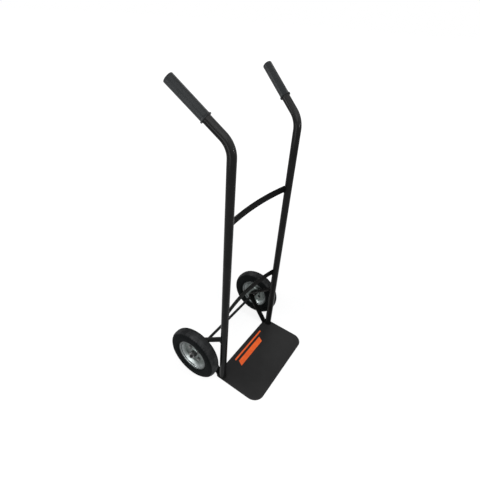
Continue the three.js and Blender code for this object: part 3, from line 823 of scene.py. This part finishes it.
def make_stripes():
    """Paint film of two slanted stripes on the plate."""
    film = 0.00012
    vertices, faces = [], []
    for stripe in STRIPES:
        outline = stripe_outline(*stripe)
        base = len(vertices)
        vertices += [(x, y, PLATE_THICKNESS - film) for x, y in outline]
        vertices += [(x, y, PLATE_THICKNESS + film) for x, y in outline]
        faces += [[base + 3, base + 2, base + 1, base], [base + 4, base + 5, base + 6, base + 7]]
        for item in range(4):
            after = (item + 1) % 4
            faces.append([base + item, base + after, base + 4 + after, base + 4 + item])
    stripes = stand("toe_plate_stripes", build("toe_plate_stripes", vertices, faces, STRIPE_PAINT))
    hand_over(stripes, "frame", "plate_paint")


def make_straps():
    """Two flat straps bowed backwards between the uprights."""
    start_line = [(0, 0, 0), (0, 0, 0.001)]
    for label, level, bow in STRAPS:
        sizes = {
            "Half Chord": STRAP_HALF_CHORD, "Bow": bow, "Height": STRAP_HEIGHT, "Thickness": STRAP_THICKNESS,
            "Edge Radius": 0.0006, "Finish": STRAP_ENAMEL,
        }
        strap = grow(f"{label}_bowed_strap", path_mesh((start_line, False)), STRAP_TREE, sizes)
        place = Matrix.Translation((0, STRAP_SETBACK, level))
        hand_over(strap, "frame", "frame_paint", f"{label}_cross_strap", place=place, angle=35)


def leg_angle():
    """Angle above the horizontal at which the bracket's leg rises to pass just in front of the axle."""
    run = AXLE.y - FOOT_SETBACK
    rise = AXLE.z - PLATE_THICKNESS
    standoff = AXLE_RADIUS + FIT_GAP + BRACKET_THICKNESS / 2
    return math.atan2(rise, run) + math.asin(standoff / math.hypot(run, rise))


def slide_to(point, direction, coordinate, value):
    """Moves a point along a direction until one of its coordinates has the given value."""
    return point + direction * ((value - point[coordinate]) / direction[coordinate])


def bracket_outline():
    """Side view of the bent bar, as pairs of Y and Z."""
    leg, bite = leg_angle(), 0.0004
    arm_way = Vector((-math.cos(ARM_DROP), math.sin(ARM_DROP)))
    leg_way = Vector((-math.cos(leg), -math.sin(leg)))
    arm_slope, leg_slope = math.tan(ARM_DROP), math.tan(leg)
    corner_y = (ARM_LEVEL - PLATE_THICKNESS + leg_slope * FOOT_SETBACK) / (leg_slope + arm_slope)
    corner = Vector((corner_y, ARM_LEVEL - arm_slope * corner_y))
    inward = (arm_way + leg_way).normalized()
    center = corner + inward * (BRACKET_BEND_RADIUS / math.sin((ARM_DROP + leg) / 2))
    sides = []
    for radius in (BRACKET_BEND_RADIUS + BRACKET_THICKNESS / 2, BRACKET_BEND_RADIUS - BRACKET_THICKNESS / 2):
        turn = arc(center, radius, math.pi / 2 - ARM_DROP, leg - math.pi / 2, steps=20)
        bend = [Vector(point) for point in turn]
        top = slide_to(bend[0], arm_way, 0, TUBE_RADIUS - bite)
        bottom = slide_to(bend[-1], leg_way, 1, PLATE_THICKNESS)
        sides.append([top] + bend + [bottom])
    return [tuple(point) for point in sides[0] + sides[1][::-1]]


def make_brackets():
    """Flat bars bent into a V, from the uprights down to the back edge of the plate."""
    from_side_view = Matrix(((0, 0, 1, 0), (1, 0, 0, 0), (0, 1, 0, 0), (0, 0, 0, 1)))
    for label, side in SIDES:
        name = f"{label}_bracket_bar"
        bar = stand(name, slab(name, bracket_outline(), BRACKET_WIDTH, BRACKET_ENAMEL))
        bar.data.transform(Matrix.Translation((side * BRACKET_X - BRACKET_WIDTH / 2, 0, 0)) @ from_side_view)
        soften(bar, width=0.0006)
        hand_over(bar, "frame", "frame_paint", f"{label}_axle_bracket")


# Welds

def bead_line(side, y, z):
    """Straight bead across the bracket bar."""
    return [(side * BRACKET_X + x, y, z) for x in (-BEAD_HALF_LENGTH, 0.0, BEAD_HALF_LENGTH)]


def foot_weld_paths(side):
    """Ring round the foot of the upright, and beads before and behind the foot of the bracket."""
    outwards, ring_lift, bead_lift = 0.0007, 0.0008, 0.0006
    around = arc((0, 0), TUBE_RADIUS + outwards, 0, 2 * math.pi, steps=40)[:-1]
    lines = [([(side * UPRIGHT_X + x, y, PLATE_THICKNESS + ring_lift) for x, y in around], True)]
    for y in FOOT_BEAD_PLACES:
        lines.append((bead_line(side, y, PLATE_THICKNESS + bead_lift), False))
    return lines


def arm_weld_paths(side):
    """Beads above and below the arm where it meets the upright."""
    half_length, spacing, lift = 0.0085, 0.001, 0.0006
    places = [-half_length + spacing * step for step in range(18)]
    lines = []
    for level in ARM_BEAD_LEVELS:
        line = [(side * UPRIGHT_X + x, math.sqrt(TUBE_RADIUS ** 2 - x * x) + lift, level) for x in places]
        lines.append((line, False))
    return lines


def strap_weld_paths(side):
    """Upright beads at the ends of both straps, in front of and behind the strap."""
    rise = STRAP_BEAD_HALF_LENGTH
    lines = []
    for _, level, _ in STRAPS:
        for inwards, y in STRAP_BEAD_PLACES:
            x = side * (UPRIGHT_X - inwards)
            lines.append(([(x, y, level + z) for z in (-rise, 0.0, rise)], False))
    return lines


def axle_weld_paths(side):
    """Beads on both sides of the line where the axle lies against the bracket's leg."""
    leg, sunk = leg_angle(), 0.0014
    along = Vector((math.cos(leg), math.sin(leg)))
    back = Vector((math.sin(leg), -math.cos(leg)))
    lines = []
    for shift in (-AXLE_BEAD_SHIFT, AXLE_BEAD_SHIFT):
        spot = Vector((AXLE.y, AXLE.z)) - back * (AXLE_RADIUS - sunk) + along * shift
        lines.append((bead_line(side, spot.x, spot.y), False))
    return lines


def make_welds():
    """Beads at the joints of the frame, one piece for each side and kind of joint."""
    groups = (
        ("foot", foot_weld_paths, 0.0019), ("arm", arm_weld_paths, 0.0018),
        ("strap", strap_weld_paths, 0.0015), ("axle", axle_weld_paths, 0.0017),
    )
    for label, side in SIDES:
        for group, paths, radius in groups:
            sizes = {
                "Bead Radius": radius, "Ripple Pitch": 0.0019, "Ripple Share": 0.06, "Seed": 3.0 + side,
                "Finish": WELD_ENAMEL,
            }
            bead = grow(f"{label}_{group}_weld", path_mesh(*paths(side)), WELD_TREE, sizes)
            hand_over(bead, "frame", "frame_paint", angle=60)


# Axle

def to_axle(x):
    """Move from the origin to a place along the axle."""
    return Matrix.Translation((x, AXLE.y, AXLE.z))


def make_axle():
    """Round rod with turned-off edges and a drilled centre mark in each end."""
    end, radius, edge, mark_depth, mark_radius = AXLE_HALF_LENGTH, AXLE_RADIUS, 0.0009, 0.0012, 0.0013
    half = [(end - mark_depth, 0.0), (end, mark_radius), (end, radius - edge), (end - edge, radius)]
    section = half + [(-reach, size) for reach, size in half[::-1]]
    rod = stand("axle_shaft", turned("axle_shaft", section, steps=48, finish=AXLE_ENAMEL))
    hand_over(rod, "frame", "frame_paint", "axle_rod", place=to_axle(0))


def make_washers():
    """Flat washers on both sides of each hub."""
    half, inner, outer, edge = WASHER_THICKNESS / 2, AXLE_RADIUS + FIT_GAP, WASHER_RADIUS, 0.0003
    section = [(-half, inner), (-half, outer - edge), (edge - half, outer), (half - edge, outer)]
    section += [(half, outer - edge), (half, inner)]
    for label, side in SIDES:
        for end, x in (("inner", INNER_WASHER_X), ("outer", OUTER_WASHER_X)):
            disc = turned("washer", section, steps=64, finish=WASHER_STEEL)
            washer = stand(f"{label}_{end}_axle_washer", disc)
            hand_over(washer, "frame", "steel_plain", f"{label}_{end}_washer", place=to_axle(side * x))


def split_pin_path(side):
    """Wire from one spread leg up through the axle, round the eye and down the other leg."""
    wire, eye, top, opening = PIN_WIRE_RADIUS, 0.0027, AXLE_RADIUS + 0.0062, 0.30
    points = [(0.0042, -0.0106), (0.0026, -0.0088), (0.0012, -0.0070), (wire, -0.0050), (wire, top - 0.0016)]
    start = -math.pi / 2 + opening
    points += arc((0.0, top + eye), eye, start, start + (2 * math.pi - 2 * opening), steps=24)
    points += [(-wire, top - 0.0016), (-wire, -0.0050)]
    points += [(-0.0012, -0.0070), (-0.0022, -0.0088), (-0.0030, -0.0104)]
    return [(side * PIN_X, AXLE.y + y, AXLE.z + z) for y, z in points]


def make_split_pins():
    """Bent wire pins through the ends of the axle."""
    sizes = {"Radius": PIN_WIRE_RADIUS, "Sides": 12, "Finish": WASHER_STEEL}
    for label, side in SIDES:
        pin = grow(f"{label}_split_pin_wire", path_mesh((split_pin_path(side), False)), ROD_TREE, sizes)
        hand_over(pin, "frame", "steel_plain", f"{label}_split_pin", angle=60)


# Wheels

def wheel_place(side):
    """From a wheel drawn around X, outer side towards positive X, to its place on the truck."""
    turn = Matrix.Rotation(math.pi, 4, "Z") if side < 0 else Matrix.Identity(4)
    return to_axle(side * WHEEL_X) @ turn


def signed_power(value, power):
    """Power of a value that keeps its sign."""
    return math.copysign(abs(value) ** power, value)


def tread_relief(reach):
    """Depth of the three ring grooves in the tread at a distance from its middle."""
    half_width, full_depth, slope = 0.0014, 0.0011, 0.0006
    depth = 0.0
    for middle in TREAD_GROOVES:
        away = abs(reach - middle)
        if away < half_width:
            depth = full_depth * min(1.0, (half_width - away) / slope)
    return depth


def side_relief(rise):
    """Height of the raised rings on the side of the tyre at a distance above its middle line."""
    height = 0.0
    for middle, width, lift in SIDE_RINGS:
        away = abs(rise - middle)
        if away < width:
            height += lift * (0.5 + 0.5 * math.cos(math.pi * away / width))
    return height


def tyre_section():
    """Section of the carcass, from one bead over the crown to the other and back through the hollow."""
    half_width, half_height = TYRE_WIDTH / 2, TYRE_RADIUS - TYRE_MIDDLE_RADIUS
    power = 2 / TYRE_SQUARENESS
    shoulder, side_starts, side_blend = TYRE_SHOULDER_RADIUS, 0.016, 0.003
    side_wall, crown_wall = 0.005, 0.007
    end_angle = math.acos(signed_power((shoulder - TYRE_MIDDLE_RADIUS) / half_height, 1 / power))
    outer = []
    steps, inner_steps, inner_angle = 150, 24, 2.15
    for step in range(steps + 1):
        angle = end_angle * (2 * step / steps - 1)
        reach = half_width * signed_power(math.sin(angle), power)
        rise = half_height * signed_power(math.cos(angle), power)
        steep = min(1.0, max(0.0, (abs(reach) - side_starts) / side_blend))
        reach += math.copysign(side_relief(rise) * steep, reach)
        outer.append((reach, TYRE_MIDDLE_RADIUS + rise - tread_relief(reach) * (rise > 0)))
    inner = []
    for step in range(inner_steps + 1):
        angle = inner_angle * (2 * step / inner_steps - 1)
        reach = (half_width - side_wall) * signed_power(math.sin(angle), power)
        rise = (half_height - crown_wall) * signed_power(math.cos(angle), power)
        inner.append((reach, TYRE_MIDDLE_RADIUS + rise))
    bead_out, bead_in, base = 0.0134, 0.0088, RIM_SEAT_RADIUS + FIT_GAP
    section = [(-bead_in, base), (-bead_out, base), (-bead_out, shoulder - 0.0004)] + outer
    section += [(bead_out, shoulder - 0.0004), (bead_out, base), (bead_in, base)] + inner[::-1]
    return section


def make_tyres():
    """Tyres with grooves round the tread, notched shoulders and raised rings on their sides."""
    sizes = {
        "Notch Count": 64.0, "Notch Depth": 0.0013, "Notch Share": 0.3, "Inner Reach": 0.0115,
        "Outer Reach": 0.0205, "Tread Radius": 0.088, "Finish": TYRE_RUBBER,
    }
    for label, side in SIDES:
        carcass = turned(f"{label}_tyre_casing", tyre_section(), steps=384, finish=TYRE_RUBBER)
        tyre = grow(f"{label}_tyre_casing", carcass, TREAD_TREE, sizes)
        place = wheel_place(side)
        hand_over(tyre, f"{label}_wheel", "tyre_rubber", f"{label}_tyre", place=place, angle=50)


def rounded_line(corners):
    """Line through corners given as reach, radius and rounding."""
    steps, nearly_straight = 8, 0.01
    points = [Vector(corners[0][:2])]
    for before, here, after in zip(corners, corners[1:], corners[2:]):
        corner, rounding = Vector(here[:2]), here[2]
        arriving = (corner - Vector(before[:2])).normalized()
        leaving = (Vector(after[:2]) - corner).normalized()
        turn = arriving.angle(leaving)
        if rounding == 0 or turn < nearly_straight:
            points.append(corner)
            continue
        cut = rounding * math.tan(turn / 2)
        inward = (leaving - arriving).normalized()
        center = corner + inward * (rounding / math.cos(turn / 2))
        start, end = corner - arriving * cut - center, corner + leaving * cut - center
        sweep = start.angle_signed(end)
        for step in range(steps + 1):
            spun = start.copy()
            spun.rotate(Matrix.Rotation(-sweep * step / steps, 2))
            points.append(center + spun)
    points.append(Vector(corners[-1][:2]))
    return points


def sheet_section(line, thickness):
    """Outline of a bent sheet whose middle follows a line."""
    left, right = [], []
    for item, point in enumerate(line):
        arriving = (point - line[item - 1]).normalized() if item else (line[1] - point).normalized()
        leaving = (line[item + 1] - point).normalized() if item + 1 < len(line) else arriving
        square = Vector((-arriving.y - leaving.y, arriving.x + leaving.x))
        square *= thickness / 2 / (1 + arriving.dot(leaving))
        left.append(point + square)
        right.append(point - square)
    return [tuple(point) for point in left + right[::-1]]


def rim_line():
    """Middle line of the outer half: boss, flat disc, sloping wall, bead seat, flange and rolled lip."""
    seat = RIM_SEAT_RADIUS - RIM_SHEET / 2
    boss = [(0.0031, 0.0123, 0), (0.0031, 0.0192, 0.0018), (0.0009, 0.0216, 0.0018)]
    wall = [(0.0009, 0.0440, 0.0055), (0.0104, seat, 0.0034)]
    flange = [(0.01525, seat, 0.0029), (0.01525, 0.0612, 0.0010), (0.01665, 0.0624, 0)]
    return rounded_line(boss + wall + flange)


def make_rims():
    """Two pressed halves for each wheel."""
    for label, side in SIDES:
        for half, facing in (("outer", 1), ("inner", -1)):
            section = [(facing * reach, radius) for reach, radius in sheet_section(rim_line(), RIM_SHEET)]
            pressing = turned("rim", section, steps=144, finish=RIM_ZINC)
            rim = stand(f"{label}_{half}_rim_pressing", pressing)
            node, place = f"{label}_rim_{half}_half", wheel_place(side)
            hand_over(rim, f"{label}_wheel", "rim_zinc", node, place=place, angle=40)


def hub_section():
    """Section of the hub tube as reach and radius, with its outside edges turned off."""
    inner, outer, bore, outside, edge = HUB_INNER_REACH, HUB_OUTER_REACH, HUB_BORE_RADIUS, HUB_RADIUS, 0.0005
    section = [(-inner, bore), (-inner, outside - edge), (edge - inner, outside)]
    return section + [(outer - edge, outside), (outer, outside - edge), (outer, bore)]


def bush_section(facing, end):
    """Section of a bush: its sleeve in the hub tube and its flange beyond the tube's end."""
    bore, body, flange = AXLE_RADIUS + FIT_GAP, HUB_BORE_RADIUS - FIT_GAP, HUB_BORE_RADIUS + 0.0025
    deep, seat, face = end - 0.012, end + FIT_GAP, end + 0.0018
    section = [(deep, bore), (deep, body), (seat, body), (seat, flange - 0.0003)]
    section += [(end + 0.0006, flange), (face - 0.0004, flange), (face, flange - 0.0004), (face, bore)]
    return [(facing * reach, radius) for reach, radius in section]


def make_hubs():
    """Tube through both discs, with a flanged bush in each end."""
    for label, side in SIDES:
        hub = stand(f"{label}_hub_sleeve", turned("hub", hub_section(), steps=64, finish=HUB_STEEL))
        wheel, place = f"{label}_wheel", wheel_place(side)
        hand_over(hub, wheel, "rim_zinc", f"{label}_hub_tube", place=place)
        for end, facing, reach in (("outer", 1, HUB_OUTER_REACH), ("inner", -1, HUB_INNER_REACH)):
            liner = turned("bush", bush_section(facing, reach), steps=48, finish=BUSH_NYLON)
            bush = stand(f"{label}_{end}_bush_liner", liner)
            hand_over(bush, wheel, "bush_nylon", f"{label}_{end}_bush", place=place)


def hexagon_block(start, end, radius):
    """Six-sided head or nut between two places along X, with its corners turned down on the outer face."""
    steps, edge, face_share = 24, 0.0007, 0.88
    work = bmesh.new()
    rings = []
    outward = 1 if end > start else -1
    for reach, size in ((start, radius), (end - outward * edge, radius), (end, radius * face_share)):
        ring = []
        for step in range(steps):
            angle = 2 * math.pi * step / steps
            flat = math.pi / 6 - abs(angle % (math.pi / 3) - math.pi / 6)
            hexagon = radius * math.cos(math.pi / 6) / math.cos(math.pi / 6 - flat)
            width = min(size, hexagon)
            ring.append(work.verts.new((reach, width * math.sin(angle), width * math.cos(angle))))
        rings.append(ring)
    for here, there in zip(rings, rings[1:]):
        for step in range(steps):
            after = (step + 1) % steps
            work.faces.new((here[step], here[after], there[after], there[step]))
    work.faces.new(rings[0])
    work.faces.new(rings[-1])
    bmesh.ops.recalc_face_normals(work, faces=work.faces)
    mesh = bpy.data.meshes.new("hexagon")
    work.to_mesh(mesh)
    work.free()
    return mesh


def bolt_mesh():
    """Bolt with its thread end and nut, clamping both discs, drawn around X."""
    face, tip, shank_end, first_crest, first_root = 0.0021, -0.0099, 0.004, -0.0096, -0.0092
    turns, pitch, root_radius = 5, 0.0008, 0.0026
    thread = [(tip, 0.0), (tip, 0.0024)]
    for turn in range(turns):
        thread += [(first_crest + pitch * turn, BOLT_RADIUS), (first_root + pitch * turn, root_radius)]
    thread += [(-0.0056, BOLT_RADIUS), (shank_end, BOLT_RADIUS), (shank_end, 0.0)]
    under, over = face - 0.0003, face + 0.0006
    collar = [(under, 0.0), (under, 0.0066), (face + 0.0004, 0.0068), (over, 0.0064), (over, 0.0)]
    work = bmesh.new()
    head = hexagon_block(face, face + 0.004, BOLT_HEAD_RADIUS)
    nut = hexagon_block(-face, -face - 0.005, BOLT_HEAD_RADIUS)
    rod = turned("thread", thread, steps=24, finish=BOLT_STEEL)
    washer = turned("collar", collar, steps=36, finish=BOLT_STEEL)
    for part in (rod, washer, head, nut):
        work.from_mesh(part)
    mesh = bpy.data.meshes.new("rim_bolt")
    work.to_mesh(mesh)
    work.free()
    return mesh


def make_rim_bolts():
    """Bolts that clamp the rim halves, one piece for each wheel."""
    sizes = {
        "Count": BOLT_COUNT, "Circle Radius": BOLT_CIRCLE_RADIUS, "First Turn": math.pi / BOLT_COUNT,
        "Finish": BOLT_STEEL,
    }
    for label, side in SIDES:
        bolts = grow(f"{label}_rim_bolts", bolt_mesh(), BOLT_TREE, sizes)
        nodes = [f"{label}_rim_bolt_{item + 1}" for item in range(BOLT_COUNT)]
        hand_over(bolts, f"{label}_wheel", "rim_zinc", *nodes, place=wheel_place(side), angle=30)


make_uprights()
make_grips()
make_toe_plate()
make_stripes()
make_straps()
make_brackets()
make_welds()
make_axle()
make_washers()
make_split_pins()
make_tyres()
make_rims()
make_hubs()
make_rim_bolts()


# Camera, light and floor

def place_camera():
    """Camera at the photograph's angle, from the fit of the truck's edges."""
    focal_length, place = 24.4706, (-0.7512, -0.42206, 1.12684)
    lens = bpy.data.cameras.new("photo_camera")
    lens.sensor_fit = "HORIZONTAL"
    lens.sensor_width = 36
    lens.lens = focal_length
    lens.clip_start = 0.02
    lens.clip_end = 200
    camera = stand("photo_camera", lens)
    right = Vector((0.5786081148307607, -0.8137564494377905, 0.05489162459240984))
    up = Vector((0.4371698696716238, 0.36625147296944843, 0.821427028773101))
    back = Vector((-0.6885456807672885, -0.45128738022030945, 0.567665875274004))
    turn = Matrix((right, up, back)).transposed().to_4x4()
    camera.matrix_world = Matrix.Translation(place) @ turn
    bpy.context.scene.camera = camera


# Name, place, target, width and height, and power in watts
SOFT_LIGHTS = (
    ("key_light", (-1.4, -0.9, 1.95), (0, 0, 0.45), (1.1, 1.1), 14),
    ("top_window", (-0.15, -0.95, 2.35), (0, 0, 0.6), (1.8, 1.2), 18),
    ("left_window", (-2.1, 0.2, 0.45), (0, 0.05, 0.1), (1.5, 0.75), 24),
    ("back_window", (-1.5, 2.0, 1.2), (0, 0, 0.9), (1.1, 1.0), 33),
    ("front_strip", (0.22, -1.95, 1.09), (-0.17, 0, 0.88), (0.13, 0.40), 14),
    ("fill_light", (2.1, 0.4, 2.3), (0, 0, 0.5), (0.9, 0.9), 9),
)


def add_soft_light(name, place, target, size, power):
    """Rectangular lamp that faces its target."""
    lamp = bpy.data.lights.new(name, "AREA")
    lamp.shape = "RECTANGLE"
    lamp.size, lamp.size_y = size
    lamp.energy = power
    light = stand(name, lamp)
    light.location = place
    light.rotation_euler = (Vector(target) - Vector(place)).to_track_quat("-Z", "Y").to_euler()


def seen_share(tree):
    """1 for rays that show the background itself: seen, mirrored or through glass."""
    paths = put(tree, "ShaderNodeLightPath").outputs
    mirrored = calc(tree, "MAXIMUM", paths["Is Glossy Ray"], paths["Is Transmission Ray"])
    return calc(tree, "MAXIMUM", paths["Is Camera Ray"], mirrored)


def light_world():
    """Pale, weak light from all sides, white where it is seen or mirrored."""
    world = bpy.data.worlds.new("white_studio")
    bpy.context.scene.world = world
    world.use_nodes = True
    tree = world.node_tree
    tree.nodes.clear()
    soft = put(tree, "ShaderNodeBackground", {"Color": (0.96, 0.98, 1.0, 1), "Strength": 0.3})
    white = put(tree, "ShaderNodeBackground", {"Color": (1, 1, 1, 1), "Strength": 1.0})
    inputs = {0: seen_share(tree), 1: soft.outputs[0], 2: white.outputs[0]}
    put(tree, "ShaderNodeOutputWorld", {"Surface": put(tree, "ShaderNodeMixShader", inputs).outputs[0]})


def lay_floor():
    """Wide pale floor that is nearly white where it is seen and still holds the truck's shadow."""
    material = bpy.data.materials.new("pale_floor")
    material.use_nodes = True
    tree = material.node_tree
    tree.nodes.clear()
    place = put(tree, "ShaderNodeTexCoord").outputs["Object"]
    cloud = grain(tree, place, scale=3.0, detail=4)
    tone = blend_colors(tree, cloud, (0.80, 0.80, 0.80, 1), (0.84, 0.84, 0.84, 1))
    cloth = put(tree, "ShaderNodeBsdfDiffuse", {"Color": tone})
    glow = put(tree, "ShaderNodeEmission", {"Color": (1, 1, 1, 1), "Strength": 1.1})
    distance = put(tree, "ShaderNodeVectorMath", {0: place}, operation="LENGTH").outputs["Value"]
    near, far, near_cover = 0.6, 1.6, 0.74
    cover = spread(tree, distance, near, far, near_cover)
    inputs = {0: calc(tree, "MULTIPLY", seen_share(tree), cover), 1: cloth.outputs[0], 2: glow.outputs[0]}
    put(tree, "ShaderNodeOutputMaterial", {"Surface": put(tree, "ShaderNodeMixShader", inputs).outputs[0]})
    mesh = bpy.data.meshes.new("studio_floor")
    reach, below_wheels = 60.0, 0.0003
    corners = [(-reach, -reach, 0), (reach, -reach, 0), (reach, reach, 0), (-reach, reach, 0)]
    mesh.from_pydata(corners, [], [(0, 1, 2, 3)])
    mesh.materials.append(material)
    floor = stand("studio_floor", mesh)
    floor.location.z = -below_wheels


place_camera()
for soft_light in SOFT_LIGHTS:
    add_soft_light(*soft_light)
light_world()
lay_floor()
bpy.context.scene.view_settings.view_transform = "Standard"
